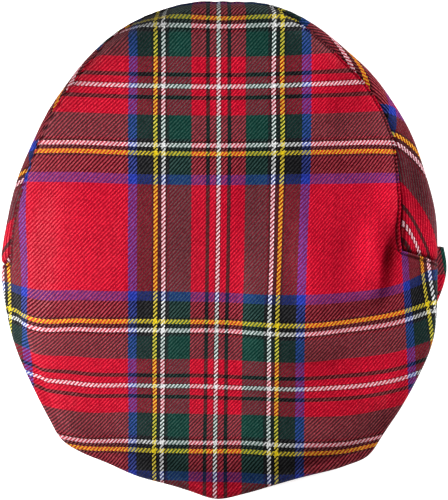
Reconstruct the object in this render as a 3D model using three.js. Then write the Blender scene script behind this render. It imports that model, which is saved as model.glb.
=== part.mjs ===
// A soft tartan flat cap: a top panel that runs down into two front wings, two back panels
// that meet at the centre back, and a short cloth-covered peak under the front edge.
// Millimetres, +Z up, +Y to the back of the head, -Y to the peak. The origin is on the
// surface that the cap rests on, where the back rim and the two peak corners touch it.
// Left and right are as seen by someone who faces the peak.
import * as THREE from 'three';

// Cloth and peak
const CLOTH = 2.0;
const SEAM_GAP = 0.4;
const PEAK_WALL = 4.0;
const PEAK_EDGE_ROUND = 1.0;

// The opening for the head, an ellipse in plan. Its edge is level with the peak's ends behind
// templeY and rises from there to the brow.
const HEAD = { centreX: -0.01, centreY: 9.32, halfWidth: 94, halfLength: 92, templeY: 1.9 };
const TEMPLE_HEIGHT = 9.6;
const BROW_HEIGHT = 24;

// The crown's middle, from which every section is cut outwards, and the fall of its top there
const POLE = { x: -8.01, y: 31.32, z: 72 };
const POLE_FALL = { toRight: 0.06, toFront: 0.08 };
const ROLL_POWER = 12;

// One row for each section around the cap. Azimuth is in degrees from +X towards +Y.
// The seam columns are the edge of the crown's top, where the wings have their shoulder.
// straight makes the slope to the seam even, roll is the share of the drop kept for the last
// few millimetres, wide is the widest point and rim the lower edge of the cloth.
const SECTION_COLUMNS = [
  'place', 'azimuth', 'seamReach', 'seamHeight', 'straight', 'roll',
  'wideReach', 'wideHeight', 'rimReach', 'rimHeight',
];
const SECTION_ROWS = [
  ['right temple', -16.5, 107.4, 43, 0.20, 0.15, 129.0, 26, 124.0, 10],
  ['right side', 0, 100.6, 46, 0.20, 0.22, 119.0, 31, 108.0, 6.5],
  ['right side', 20, 101.6, 49, 0.10, 0.40, 111.9, 38, 94.0, 2],
  ['right quarter', 35, 101.0, 52, 0, 0.52, 107.4, 43, 86.0, 0],
  ['right quarter', 50, 99.4, 53.5, 0, 0.58, 105.2, 46, 80.4, 0],
  ['right quarter', 59, 100.9, 53.5, 0, 0.62, 105.4, 47.7, 77.6, 0],
  ['back', 68, 104.5, 52.5, 0, 0.72, 105.7, 49, 75.3, 0],
  ['centre back', 90, 103.2, 52, 0, 0.74, 103.5, 49, 71.7, 0],
  ['back', 101, 101.4, 51.8, 0, 0.74, 101.7, 48.8, 71.1, 0],
  ['back', 112, 100.7, 51.5, 0, 0.74, 100.9, 48.5, 70.9, 0],
  ['left quarter', 125, 99.2, 53, 0, 0.66, 100.0, 48.5, 71.6, 0],
  ['left quarter', 135, 96.2, 55, 0, 0.52, 98.8, 47.5, 73.0, 0],
  ['left quarter', 145, 94.7, 56, 0, 0.46, 97.0, 46.7, 75.0, 0.2],
  ['left side', 155, 95.8, 55.5, 0, 0.48, 98.2, 46, 77.8, 1],
  ['left side', 172, 100.1, 53, 0, 0.56, 104.3, 45, 85.5, 4.5],
  ['left side', 187, 107.0, 50.5, 0, 0.60, 111.0, 44, 98.0, 8],
  ['left temple', 198.5, 115.0, 49, 0, 0.58, 120.1, 43, 111.5, 10],
  ['left wing', 215, 125.3, 40, 0.05, 0.50, 133.3, 30, 125.8, 8],
  ['left wing', 228, 137.9, 29, 0.10, 0.35, 146.0, 19.5, 140.8, 6],
  ['left wing', 234, 145.8, 22, 0.15, 0.25, 153.0, 13.2, 148.8, 4.8],
  ['left corner', 238.5, 152.4, 18, 0.20, 0.18, 158.9, 10, 155.4, 4.5],
  ['left flank', 242, 153.6, 17.7, 0.23, 0.14, 159.9, 10.3, 156.8, 5.8],
  ['left flank', 250, 153.8, 20.5, 0.30, 0.10, 159.7, 14.5, 157.2, 10.5],
  ['left flank', 260, 155.7, 24, 0.35, 0.10, 161.1, 18.5, 158.7, 14.5],
  ['left flank', 266, 157.8, 25.2, 0.38, 0.10, 163.2, 20, 160.8, 16.3],
  ['front tip', 271, 161.0, 25.5, 0.40, 0.10, 166.5, 20.5, 164.0, 17],
  ['right flank', 276, 159.5, 25, 0.38, 0.10, 164.8, 20, 162.4, 16.4],
  ['right flank', 281, 157.7, 24, 0.35, 0.10, 162.9, 19, 160.5, 15],
  ['right flank', 290, 158.5, 20.5, 0.30, 0.10, 164.0, 15, 161.1, 11],
  ['right flank', 296, 160.7, 17.7, 0.27, 0.10, 166.7, 11.4, 163.5, 6.9],
  ['right corner', 301, 161.8, 17, 0.25, 0.10, 168.8, 10, 165.3, 4.5],
  ['right wing', 305, 155.9, 20, 0.23, 0.11, 164.6, 12.1, 160.8, 4.8],
  ['right wing', 310, 147.3, 25, 0.20, 0.12, 158.5, 16, 154.3, 6],
  ['right wing', 326, 126.6, 36, 0.20, 0.14, 144.3, 23, 138.8, 8],
  ['right wing', 332, 119.4, 39, 0.20, 0.14, 137.9, 24.3, 132.8, 8.9],
];
const FULL_TURN = 360;
const RIGHT_TEMPLE = -16.5;
const CENTRE_BACK = 90;
const LEFT_TEMPLE = 198.5;

// One row for each section of the peak, with the reach of its edge. Its ends lie a little behind
// the temples, and the right one stands out from under the wing.
const PEAK_COLUMNS = ['place', 'azimuth', 'peakReach'];
const PEAK_EDGE_ROWS = [
  ['left end', 194.5, 112.0],
  ['left temple', 198.5, 115.5],
  ['left wing', 215, 128.8],
  ['left wing', 228, 143.3],
  ['left wing', 234, 150.4],
  ['left corner', 238.5, 156.4],
  ['left flank', 242, 157.7],
  ['left flank', 250, 158.2],
  ['left flank', 260, 159.7],
  ['left flank', 266, 161.8],
  ['front tip', 271, 165.0],
  ['right flank', 276, 163.4],
  ['right flank', 281, 161.5],
  ['right flank', 290, 162.1],
  ['right flank', 296, 164.4],
  ['right corner', 301, 166.3],
  ['right wing', 305, 162.2],
  ['right wing', 310, 156.3],
  ['right wing', 326, 141.8],
  ['right wing', 332, 138.8],
  ['right temple', 343.5, 135.5],
  ['right end', 347.5, 131.5],
];
const PEAK_LEFT_END = 194.5;
const PEAK_RIGHT_END = 347.5;
const PEAK_LEDGE = 4.0;

// Stations along a section, which starts from 0 at the pole
const AT_SEAM = 1;
const AT_WIDE = 2;
const AT_RIM = 3;

// Soft dents and swells of the cloth. Along is a station of the section, and a positive depth
// is pressed in.
const FOLD_COLUMNS = ['place', 'azimuth', 'along', 'depth', 'azimuthSpan', 'alongSpan'];
const FOLD_ROWS = [
  ['right temple dent', -20, 0.90, 5.0, 11, 0.10],
  ['right temple swell', -8, 0.72, -2.0, 16, 0.14],
];

// How finely the cloth is divided
const COLUMN_STEP = 4;
const CROWN_ROWS = 11;
const CROWN_ROW_CROWDING = 1.5;
const SHOULDER_ROWS = 3;
const UNDER_ROWS = 4;
const PEAK_ROWS = 4;

const CLOTH_COLOUR = 0xa8142a;

const toRadians = THREE.MathUtils.degToRad;
const { clamp, lerp, euclideanModulo } = THREE.MathUtils;

// Degrees before an open table's first row that still belong to it
const OPEN_LEAD = 1;

// A function that gives every column of a table at any azimuth, as a smooth curve through its
// rows, which may close on themselves after a full turn
function curveThrough(columns, rows, closed) {
  const names = columns.slice(2);
  const azimuths = rows.map((row) => row[1]);
  const last = rows.length - 1;
  const next = (i) => (closed ? (i + 1) % rows.length : Math.min(i + 1, last));
  const before = (i) => (closed ? (i + last) % rows.length : Math.max(i - 1, 0));
  const width = (i) => euclideanModulo(azimuths[next(i)] - azimuths[i], FULL_TURN);
  const slope = (i, column) => {
    const [i0, i1] = [before(i), next(i)];
    const [width0, width1] = [i0 === i ? 0 : width(i0), i1 === i ? 0 : width(i)];
    const rise0 = width0 && (rows[i][column] - rows[i0][column]) / width0;
    const rise1 = width1 && (rows[i1][column] - rows[i][column]) / width1;
    if (!width0 || !width1) return rise0 + rise1;
    return (rise0 * width1 + rise1 * width0) / (width0 + width1);
  };
  const lead = closed ? 0 : OPEN_LEAD;
  return (azimuth) => {
    const start = azimuths[0] - lead;
    const turned = start + euclideanModulo(azimuth - start, FULL_TURN);
    const found = azimuths.findLastIndex((mark) => mark <= turned);
    const i = closed ? found : clamp(found, 0, last - 1);
    const j = next(i);
    const t = (turned - azimuths[i]) / width(i);
    return Object.fromEntries(names.map((name) => {
      const column = columns.indexOf(name);
      return [name, hermite(rows[i][column], slope(i, column) * width(i),
        rows[j][column], slope(j, column) * width(i), t)];
    }));
  };
}

const AZIMUTHS = SECTION_ROWS.map((row) => row[1]);
const tableSection = curveThrough(SECTION_COLUMNS, SECTION_ROWS, true);
const peakEdge = curveThrough(PEAK_COLUMNS, PEAK_EDGE_ROWS, false);
const FOLDS = FOLD_ROWS.map((row) => Object.fromEntries(FOLD_COLUMNS.map((name, i) => [name, row[i]])));

// The section at any azimuth. The rim is pressed flat where it rests.
function sectionAt(azimuth) {
  const section = tableSection(azimuth);
  section.rimHeight = Math.max(section.rimHeight, 0);
  section.rise = planeRise(azimuth);
  section.drop = POLE.z + section.rise * section.seamReach - section.seamHeight;
  return section;
}

function hermite(start, startSlope, end, endSlope, t) {
  const t2 = t * t;
  const t3 = t2 * t;
  return start * (2 * t3 - 3 * t2 + 1) + startSlope * (t3 - 2 * t2 + t)
    + end * (3 * t2 - 2 * t3) + endSlope * (t3 - t2);
}

// Rise of the crown's tilted top plane for each millimetre along an azimuth
function planeRise(azimuth) {
  const angle = toRadians(azimuth);
  return POLE_FALL.toFront * Math.sin(angle) - POLE_FALL.toRight * Math.cos(angle);
}

// Height of the crown's top at a share of the way from the pole to the seam
function crownHeight(section, share) {
  const { straight, roll, seamReach, rise, drop } = section;
  const dome = (1 + straight) * share ** 2 / (1 + straight * share ** 2);
  return POLE.z + rise * seamReach * share - drop * ((1 - roll) * dome + roll * share ** ROLL_POWER);
}

// Slope of the crown's top where it reaches the seam
function seamSlope(section) {
  const { straight, roll, seamReach, rise, drop } = section;
  return rise - drop * ((1 - roll) * 2 / (1 + straight) + roll * ROLL_POWER) / seamReach;
}

// Reach and height of the cloth below the seam: out to the widest point, then in to the rim
function underPoint(section, along) {
  const { seamReach, seamHeight, wideReach, wideHeight, rimReach, rimHeight } = section;
  if (along < AT_WIDE) {
    const t = along - AT_SEAM;
    const chord = Math.hypot(wideReach - seamReach, wideHeight - seamHeight);
    const slope = seamSlope(section);
    const step = chord / Math.hypot(1, slope);
    return {
      reach: hermite(seamReach, step, wideReach, 0, t),
      height: hermite(seamHeight, step * slope, wideHeight, -chord, t),
    };
  }
  const t = along - AT_WIDE;
  const chord = Math.hypot(rimReach - wideReach, rimHeight - wideHeight);
  return {
    reach: hermite(wideReach, 0, rimReach, rimReach - wideReach, t),
    height: hermite(wideHeight, -chord, rimHeight, rimHeight - wideHeight, t),
  };
}

// A point at an azimuth, reach and height from the pole's own axis
function polarPoint(azimuth, reach, height) {
  const angle = toRadians(azimuth);
  return new THREE.Vector3(POLE.x + reach * Math.cos(angle), POLE.y + reach * Math.sin(angle), height);
}

// The smooth outer face of the cloth, before its dents
function smoothPoint(azimuth, along) {
  const section = sectionAt(azimuth);
  if (along <= AT_SEAM) {
    return polarPoint(azimuth, along * section.seamReach, crownHeight(section, along));
  }
  const { reach, height } = underPoint(section, along);
  return polarPoint(azimuth, reach, height);
}

const NUDGE_DEGREES = 0.2;
const NUDGE_ALONG = 0.004;

function outwardNormal(azimuth, along) {
  const inner = Math.max(along - NUDGE_ALONG, NUDGE_ALONG);
  const outer = Math.min(inner + 2 * NUDGE_ALONG, AT_RIM);
  const outwards = smoothPoint(azimuth, outer).sub(smoothPoint(azimuth, inner));
  const around = smoothPoint(azimuth + NUDGE_DEGREES, along)
    .sub(smoothPoint(azimuth - NUDGE_DEGREES, along));
  return outwards.cross(around).normalize();
}

// How far the dents press the cloth in
function foldDepth(azimuth, along) {
  let depth = 0;
  for (const fold of FOLDS) {
    const turned = azimuth - fold.azimuth + FULL_TURN / 2;
    const turn = euclideanModulo(turned, FULL_TURN) - FULL_TURN / 2;
    const spread = (turn / fold.azimuthSpan) ** 2 + ((along - fold.along) / fold.alongSpan) ** 2;
    depth += fold.depth * Math.exp(-spread);
  }
  return depth;
}

// Outer and inner face of the cloth. The lower edge is cut level, so that it lies flat.
function clothPoints(azimuth, along) {
  const depth = along === 0 ? 0 : foldDepth(azimuth, along);
  const normal = along === 0 ? new THREE.Vector3(0, 0, 1) : outwardNormal(azimuth, along);
  const level = along >= AT_RIM;
  if (level) normal.setZ(0).normalize();
  const outer = smoothPoint(azimuth, along).addScaledVector(normal, level ? 0 : -depth);
  return { outer, inner: outer.clone().addScaledVector(normal, -CLOTH) };
}

// Azimuths from start to end that include every section row between them
function columnsBetween(start, end) {
  const marks = [start];
  for (let turn = -FULL_TURN; turn <= FULL_TURN; turn += FULL_TURN) {
    const turned = AZIMUTHS.map((azimuth) => azimuth + turn);
    marks.push(...turned.filter((azimuth) => azimuth > start && azimuth < end));
  }
  marks.sort((a, b) => a - b).push(end);
  const columns = [];
  for (let i = 0; i < marks.length - 1; i += 1) {
    const parts = Math.max(1, Math.round((marks[i + 1] - marks[i]) / COLUMN_STEP));
    for (let part = 0; part < parts; part += 1) {
      columns.push(lerp(marks[i], marks[i + 1], part / parts));
    }
  }
  columns.push(end);
  return columns;
}

// Station of a row of the crown's top, closer together towards the seam
function crownAlong(row) {
  return AT_SEAM - AT_SEAM * (1 - row / CROWN_ROWS) ** CROWN_ROW_CROWDING;
}

// Stations from a start near the seam to the rim
function underAlong(start) {
  const stations = [];
  for (let row = 0; row < SHOULDER_ROWS; row += 1) {
    stations.push(lerp(start, AT_WIDE, row / SHOULDER_ROWS));
  }
  for (let row = 0; row <= UNDER_ROWS; row += 1) {
    stations.push(lerp(AT_WIDE, AT_RIM, row / UNDER_ROWS));
  }
  return stations;
}

// A sheet of cloth that gathers outer points, inner points and faces, and closes its own edges
class ClothSheet {
  constructor() {
    this.outer = [];
    this.inner = [];
    this.faces = [];
  }

  addPoint(azimuth, along) {
    const { outer, inner } = clothPoints(azimuth, along);
    this.outer.push(outer);
    this.inner.push(inner);
    return this.outer.length - 1;
  }

  addFan(centre, ring) {
    for (let i = 0; i < ring.length - 1; i += 1) {
      this.faces.push([centre, ring[i], ring[i + 1]]);
    }
  }

  addStrip(upperRow, lowerRow) {
    for (let i = 0; i < upperRow.length - 1; i += 1) {
      const [a, b, c, d] = [upperRow[i], upperRow[i + 1], lowerRow[i + 1], lowerRow[i]];
      this.faces.push([a, d, c], [a, c, b]);
    }
  }

  edgeFaces() {
    const count = this.outer.length;
    const directed = new Set(this.faces.flatMap(([a, b, c]) => [`${a},${b}`, `${b},${c}`, `${c},${a}`]));
    const walls = [];
    for (const edge of directed) {
      const [from, to] = edge.split(',').map(Number);
      if (!directed.has(`${to},${from}`)) {
        walls.push([to, from, from + count], [to, from + count, to + count]);
      }
    }
    return walls;
  }

  solid() {
    const count = this.outer.length;
    const innerFaces = this.faces.map(([a, b, c]) => [a + count, c + count, b + count]);
    const points = [...this.outer, ...this.inner];
    return closedGeometry(points, [...this.faces, ...innerFaces, ...this.edgeFaces()]);
  }
}

function closedGeometry(points, faces) {
  const geometry = new THREE.BufferGeometry();
  geometry.setFromPoints(points);
  geometry.setIndex(faces.flat());
  geometry.computeVertexNormals();
  return geometry;
}

// The top panel: the whole crown out to the seam, and the wings down to the peak in front
function crownTop() {
  const sheet = new ClothSheet();
  const backColumns = columnsBetween(RIGHT_TEMPLE, LEFT_TEMPLE);
  const frontColumns = columnsBetween(LEFT_TEMPLE, RIGHT_TEMPLE + FULL_TURN);
  const columns = [...backColumns.slice(0, -1), ...frontColumns.slice(0, -1)];
  const ringAt = (along) => {
    const ring = columns.map((azimuth) => sheet.addPoint(azimuth, along));
    return [...ring, ring[0]];
  };
  const pole = sheet.addPoint(0, 0);
  let ring = ringAt(crownAlong(1));
  sheet.addFan(pole, ring);
  for (let row = 2; row <= CROWN_ROWS; row += 1) {
    const next = ringAt(crownAlong(row));
    sheet.addStrip(ring, next);
    ring = next;
  }
  let wing = ring.slice(backColumns.length - 1);
  for (const along of underAlong(AT_SEAM).slice(1)) {
    const next = frontColumns.map((azimuth) => sheet.addPoint(azimuth, along));
    sheet.addStrip(wing, next);
    wing = next;
  }
  return sheet.solid();
}

// One back panel, from the seam to the rim between two upright seams
function backPanel(start, end) {
  const sheet = new ClothSheet();
  const columns = columnsBetween(start, end);
  const stationsOf = columns.map((azimuth) => {
    const { seamReach, seamHeight, wideReach, wideHeight } = sectionAt(azimuth);
    const chord = Math.hypot(wideReach - seamReach, wideHeight - seamHeight);
    return underAlong(AT_SEAM + SEAM_GAP / chord);
  });
  const rowCount = stationsOf[0].length;
  let upper = null;
  for (let row = 0; row < rowCount; row += 1) {
    const lower = columns.map((azimuth, i) => sheet.addPoint(azimuth, stationsOf[i][row]));
    if (upper) sheet.addStrip(upper, lower);
    upper = lower;
  }
  return sheet.solid();
}

// Reach from the pole to the head opening's ellipse along an azimuth
function headReach(azimuth) {
  const [cos, sin] = [Math.cos(toRadians(azimuth)), Math.sin(toRadians(azimuth))];
  const [x, y] = [POLE.x - HEAD.centreX, POLE.y - HEAD.centreY];
  const a = (cos / HEAD.halfWidth) ** 2 + (sin / HEAD.halfLength) ** 2;
  const b = x * cos / HEAD.halfWidth ** 2 + y * sin / HEAD.halfLength ** 2;
  const c = (x / HEAD.halfWidth) ** 2 + (y / HEAD.halfLength) ** 2 - 1;
  return (-b + Math.sqrt(b * b - a * c)) / a;
}

// Height of the peak along the head opening, level behind the temples and rising to the brow
function headHeight(point, levelHeight) {
  const browY = HEAD.centreY - HEAD.halfLength;
  const share = (HEAD.templeY - point.y) / (HEAD.templeY - browY);
  return share <= 0 ? levelHeight : lerp(TEMPLE_HEIGHT, BROW_HEIGHT, share);
}

// The peak's section at an azimuth: from the head opening down to the level ledge that the
// cloth's edge is sewn to, round the outer edge, and back underneath
function peakSection(azimuth) {
  const { rimReach, rimHeight } = sectionAt(azimuth);
  const { peakReach } = peakEdge(azimuth);
  const innerReach = headReach(azimuth);
  const outerHeight = rimHeight - SEAM_GAP;
  const innerHeight = headHeight(polarPoint(azimuth, innerReach, 0), outerHeight);
  const slopeAt = (share) => polarPoint(azimuth,
    lerp(innerReach, rimReach - PEAK_LEDGE, share), lerp(innerHeight, outerHeight, share));
  const top = Array.from({ length: PEAK_ROWS + 1 }, (_, row) => slopeAt(row / PEAK_ROWS));
  top.push(polarPoint(azimuth, peakReach - PEAK_EDGE_ROUND, outerHeight));
  const edge = polarPoint(azimuth, peakReach, outerHeight - PEAK_WALL / 2);
  const bottom = top.map((point) => point.clone().setZ(Math.max(point.z - PEAK_WALL, 0))).reverse();
  return [...top, edge, ...bottom];
}

// A solid through closed sections that all have the same number of points
function loftSections(sections) {
  const size = sections[0].length;
  const points = sections.flat();
  const faces = [];
  for (let i = 0; i < sections.length - 1; i += 1) {
    for (let j = 0; j < size; j += 1) {
      const k = (j + 1) % size;
      const [a, b] = [i * size + j, i * size + k];
      faces.push([a, b, b + size], [a, b + size, a + size]);
    }
  }
  const lastStart = (sections.length - 1) * size;
  const half = (size - 1) / 2;
  for (let j = 0; j < half; j += 1) {
    const mirror = size - 1 - j;
    const cap = j === half - 1 ? [[j, mirror, half]] : [[j, mirror, mirror - 1], [j, mirror - 1, j + 1]];
    for (const [a, b, c] of cap) {
      faces.push([a, b, c], [lastStart + a, lastStart + c, lastStart + b]);
    }
  }
  return closedGeometry(points, faces);
}

function peak() {
  return loftSections(columnsBetween(PEAK_LEFT_END, PEAK_RIGHT_END).map(peakSection));
}

function clothMesh(name, geometry) {
  const material = new THREE.MeshStandardMaterial({ color: CLOTH_COLOUR, roughness: 0.85, metalness: 0 });
  const mesh = new THREE.Mesh(geometry, material);
  mesh.name = name;
  return mesh;
}

const templeReach = sectionAt(RIGHT_TEMPLE).rimReach;
const gapTurn = THREE.MathUtils.radToDeg(SEAM_GAP / templeReach);

const cap = new THREE.Group();
cap.add(clothMesh('crown_top', crownTop()));
cap.add(clothMesh('back_panel_right', backPanel(RIGHT_TEMPLE + gapTurn, CENTRE_BACK - gapTurn / 2)));
cap.add(clothMesh('back_panel_left', backPanel(CENTRE_BACK + gapTurn / 2, LEFT_TEMPLE - gapTurn)));
cap.add(clothMesh('peak', peak()));

export default cap;
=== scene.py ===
import bpy
import numpy as np
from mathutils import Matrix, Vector


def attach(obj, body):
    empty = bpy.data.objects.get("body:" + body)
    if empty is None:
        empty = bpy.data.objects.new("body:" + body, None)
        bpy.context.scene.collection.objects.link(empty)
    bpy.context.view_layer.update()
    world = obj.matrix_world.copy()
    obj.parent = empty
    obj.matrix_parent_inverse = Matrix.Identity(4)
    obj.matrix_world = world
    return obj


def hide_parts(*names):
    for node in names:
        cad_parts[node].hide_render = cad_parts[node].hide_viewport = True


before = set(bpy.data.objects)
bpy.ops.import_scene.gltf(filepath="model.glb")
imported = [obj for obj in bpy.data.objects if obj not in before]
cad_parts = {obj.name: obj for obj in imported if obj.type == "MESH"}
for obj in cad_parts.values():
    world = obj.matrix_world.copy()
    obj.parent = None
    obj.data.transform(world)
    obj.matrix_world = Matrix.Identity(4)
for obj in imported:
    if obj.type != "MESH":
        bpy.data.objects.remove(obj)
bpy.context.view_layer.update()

MM = 0.001
FULL_TURN = 360.0

# Cloth and peak, in millimetres
CLOTH = 2.0
CLOTH_EDGE_ROUND = 0.95
SEAM_GAP = 0.4
PEAK_WALL = 4.0
PEAK_LEDGE = 4.0

# The opening for the head, an ellipse in plan, and the peak's height along it
HEAD = {"centre_x": -0.01, "centre_y": 9.32, "half_width": 94.0, "half_length": 92.0, "temple_y": 1.9}
TEMPLE_HEIGHT = 9.6
BROW_HEIGHT = 24.0

# The crown's middle, from which every section is cut outwards, and the fall of its top there
POLE = {"x": -8.01, "y": 31.32, "z": 72.0}
FALL_TO_RIGHT = 0.06
FALL_TO_FRONT = 0.08
ROLL_POWER = 12

# One row for each section around the cap, as in the part's source
SECTION_COLUMNS = (
    "place", "azimuth", "seam_reach", "seam_height", "straight", "roll",
    "wide_reach", "wide_height", "rim_reach", "rim_height",
)
SECTION_ROWS = (
    ("right temple", -16.5, 107.4, 43, 0.20, 0.15, 129.0, 26, 124.0, 10),
    ("right side", 0, 100.6, 46, 0.20, 0.22, 119.0, 31, 108.0, 6.5),
    ("right side", 20, 101.6, 49, 0.10, 0.40, 111.9, 38, 94.0, 2),
    ("right quarter", 35, 101.0, 52, 0, 0.52, 107.4, 43, 86.0, 0),
    ("right quarter", 50, 99.4, 53.5, 0, 0.58, 105.2, 46, 80.4, 0),
    ("right quarter", 59, 100.9, 53.5, 0, 0.62, 105.4, 47.7, 77.6, 0),
    ("back", 68, 104.5, 52.5, 0, 0.72, 105.7, 49, 75.3, 0),
    ("centre back", 90, 103.2, 52, 0, 0.74, 103.5, 49, 71.7, 0),
    ("back", 101, 101.4, 51.8, 0, 0.74, 101.7, 48.8, 71.1, 0),
    ("back", 112, 100.7, 51.5, 0, 0.74, 100.9, 48.5, 70.9, 0),
    ("left quarter", 125, 99.2, 53, 0, 0.66, 100.0, 48.5, 71.6, 0),
    ("left quarter", 135, 96.2, 55, 0, 0.52, 98.8, 47.5, 73.0, 0),
    ("left quarter", 145, 94.7, 56, 0, 0.46, 97.0, 46.7, 75.0, 0.2),
    ("left side", 155, 95.8, 55.5, 0, 0.48, 98.2, 46, 77.8, 1),
    ("left side", 172, 100.1, 53, 0, 0.56, 104.3, 45, 85.5, 4.5),
    ("left side", 187, 107.0, 50.5, 0, 0.60, 111.0, 44, 98.0, 8),
    ("left temple", 198.5, 115.0, 49, 0, 0.58, 120.1, 43, 111.5, 10),
    ("left wing", 215, 125.3, 40, 0.05, 0.50, 133.3, 30, 125.8, 8),
    ("left wing", 228, 137.9, 29, 0.10, 0.35, 146.0, 19.5, 140.8, 6),
    ("left wing", 234, 145.8, 22, 0.15, 0.25, 153.0, 13.2, 148.8, 4.8),
    ("left corner", 238.5, 152.4, 18, 0.20, 0.18, 158.9, 10, 155.4, 4.5),
    ("left flank", 242, 153.6, 17.7, 0.23, 0.14, 159.9, 10.3, 156.8, 5.8),
    ("left flank", 250, 153.8, 20.5, 0.30, 0.10, 159.7, 14.5, 157.2, 10.5),
    ("left flank", 260, 155.7, 24, 0.35, 0.10, 161.1, 18.5, 158.7, 14.5),
    ("left flank", 266, 157.8, 25.2, 0.38, 0.10, 163.2, 20, 160.8, 16.3),
    ("front tip", 271, 161.0, 25.5, 0.40, 0.10, 166.5, 20.5, 164.0, 17),
    ("right flank", 276, 159.5, 25, 0.38, 0.10, 164.8, 20, 162.4, 16.4),
    ("right flank", 281, 157.7, 24, 0.35, 0.10, 162.9, 19, 160.5, 15),
    ("right flank", 290, 158.5, 20.5, 0.30, 0.10, 164.0, 15, 161.1, 11),
    ("right flank", 296, 160.7, 17.7, 0.27, 0.10, 166.7, 11.4, 163.5, 6.9),
    ("right corner", 301, 161.8, 17, 0.25, 0.10, 168.8, 10, 165.3, 4.5),
    ("right wing", 305, 155.9, 20, 0.23, 0.11, 164.6, 12.1, 160.8, 4.8),
    ("right wing", 310, 147.3, 25, 0.20, 0.12, 158.5, 16, 154.3, 6),
    ("right wing", 326, 126.6, 36, 0.20, 0.14, 144.3, 23, 138.8, 8),
    ("right wing", 332, 119.4, 39, 0.20, 0.14, 137.9, 24.3, 132.8, 8.9),
)

# Azimuths of the upright seams, and the reach of the cloth at the temples
RIGHT_TEMPLE = -16.5
CENTRE_BACK = 90.0
LEFT_TEMPLE = 198.5
TEMPLE_REACH = 122.0

# Reach of the peak's edge at each azimuth
PEAK_EDGE_ROWS = (
    (194.5, 112.0), (198.5, 115.5), (215, 128.8), (228, 143.3), (234, 150.4),
    (238.5, 156.4), (242, 157.7), (250, 158.2), (260, 159.7), (266, 161.8),
    (271, 165.0), (276, 163.4), (281, 161.5), (290, 162.1), (296, 164.4),
    (301, 166.3), (305, 162.2), (310, 156.3), (326, 141.8), (332, 138.8),
    (343.5, 135.5), (347.5, 131.5),
)

# Stations along a section, which starts from 0 at the pole
AT_SEAM = 1.0
AT_WIDE = 2.0
AT_RIM = 3.0

# Dents and swells: azimuth, station, depth pressed in, spread in degrees, spread in stations
FOLDS = (
    (-20, 0.90, 5.0, 11, 0.10),
    (-8, 0.72, -2.0, 16, 0.14),
)

# Long hollows and swells in plan: x, y, depth pressed in, half width, half length, heading.
# The colour gets painted shade in the hollows and a painted highlight on the swells, by a share for each
# millimetre.
CREASES = (
    (88.0, -4.0, 3.4, 3.1, 17.0, 78.0),
    (92.0, 13.5, 0.8, 2.2, 10.0, 96.0),
    (84.0, -23.0, 1.6, 5.0, 9.0, 60.0),
    (73.0, 2.0, -2.3, 6.0, 17.0, 82.0),
    (60.0, -1.0, 0.8, 6.0, 18.0, 85.0),
    (84.0, 31.0, -1.9, 6.5, 14.0, 95.0),
    (38.0, -8.0, -2.5, 6.5, 25.0, 95.0),
    (22.0, -12.0, -0.9, 6.0, 22.0, 92.0),
    (8.0, 22.0, 0.8, 7.0, 22.0, 88.0),
    (-20.0, 5.0, 0.6, 8.0, 30.0, 90.0),
    (-64.0, 4.0, 0.45, 9.0, 24.0, 92.0),
    (-99.0, -2.0, 0.8, 7.0, 26.0, 87.0),
    (12.0, -31.0, -1.8, 6.0, 34.0, 92.0),
    (26.0, -72.0, -0.8, 6.0, 28.0, 90.0),
    (9.0, -93.0, -1.4, 9.0, 14.0, 90.0),
    (45.0, -99.0, -1.0, 8.0, 12.0, 15.0),
    (84.0, -72.0, -1.4, 8.0, 12.0, 60.0),
    (84.0, -97.0, 1.4, 6.0, 9.0, 55.0),
    (104.0, -19.0, 1.0, 6.0, 10.0, 80.0),
    (42.0, 96.0, -1.0, 5.0, 16.0, 90.0),
    (-26.0, 112.0, -1.0, 5.0, 14.0, 90.0),
    (50.0, 46.0, 1.2, 6.0, 27.0, 0.0),
    (36.0, 43.0, 0.8, 7.0, 9.0, 90.0),
    (58.0, 70.0, 1.0, 6.0, 14.0, 100.0),
    (66.0, -31.0, 1.4, 5.0, 27.0, 9.0),
    (52.0, -59.0, 1.2, 9.0, 18.0, 5.0),
    (66.0, 90.0, 1.4, 9.0, 18.0, 110.0),
)
PAINTED_LIGHT_PER_MM = 0.22
PAINTED_LIGHT_RANGE = (0.3, 1.5)

# Painted shade where the cloth turns down: azimuth, station, share of colour lost, spread in
# degrees and in stations
PAINTED_EDGE_SHADE = (
    (4, 1.45, 0.5, 12, 0.36),
    (105, 1.0, 0.5, 34, 0.05),
    (268, 0.955, 0.42, 30, 0.05),
    (270, 1.5, 0.35, 36, 0.4),
    (290, 0.98, 0.48, 10, 0.03),
)

# Slow waves of the soft cloth: height, wavelength, heading in degrees, phase
WAVES = (
    (0.45, 74.0, 20.0, 0.4),
    (0.40, 58.0, 75.0, 1.9),
    (0.34, 47.0, 130.0, 3.3),
    (0.24, 36.0, 165.0, 5.1),
)

# The pull of a seam on the cloth beside it, the puff beyond, and puckers whose length wanders
SEAM_PULL = 0.8
SEAM_PULL_REACH = 2.4
SEAM_PUFF = 0.5
SEAM_PUFF_AT = 5.0
SEAM_PUFF_REACH = 3.0
UPRIGHT_PUFF_SHARE = 0.3
PUCKER = 0.14
PUCKER_LENGTH = 8.5
PUCKER_WANDER = 1.3
PUCKER_WANDER_LENGTH = 19.0
# Painted shadow on the cloth beside a seam: how dark, and how far it reaches
SEAM_SHADE = 0.6
SEAM_SHADE_REACH = 2.2

# A back panel is tucked under the edge that it is sewn to, and comes up again within a width
TUCK_UNDER = 1.3
TUCK_DEPTH = 2.3
TUCK_WIDTH = 3.2

# The edge of the crown: a line of stitches pulls a groove beside a narrow ridge, and the groove gets
# painted shade
GROOVE_AT = 2.0
GROOVE_DEPTH = 0.75
GROOVE_REACH = 0.65
GROOVE_SHADE = 0.65
RIDGE_AT = 0.8
RIDGE_RISE = 0.3
RIDGE_REACH = 0.6

# Sewing thread: stitches lie in the groove and end above the rim
STITCH_LENGTH = 2.6
STITCH_GAP = 0.8
STITCH_THICKNESS = 0.45
STITCH_LIFT = 0.08
STITCHES_TO_RIM = 3.0

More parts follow.
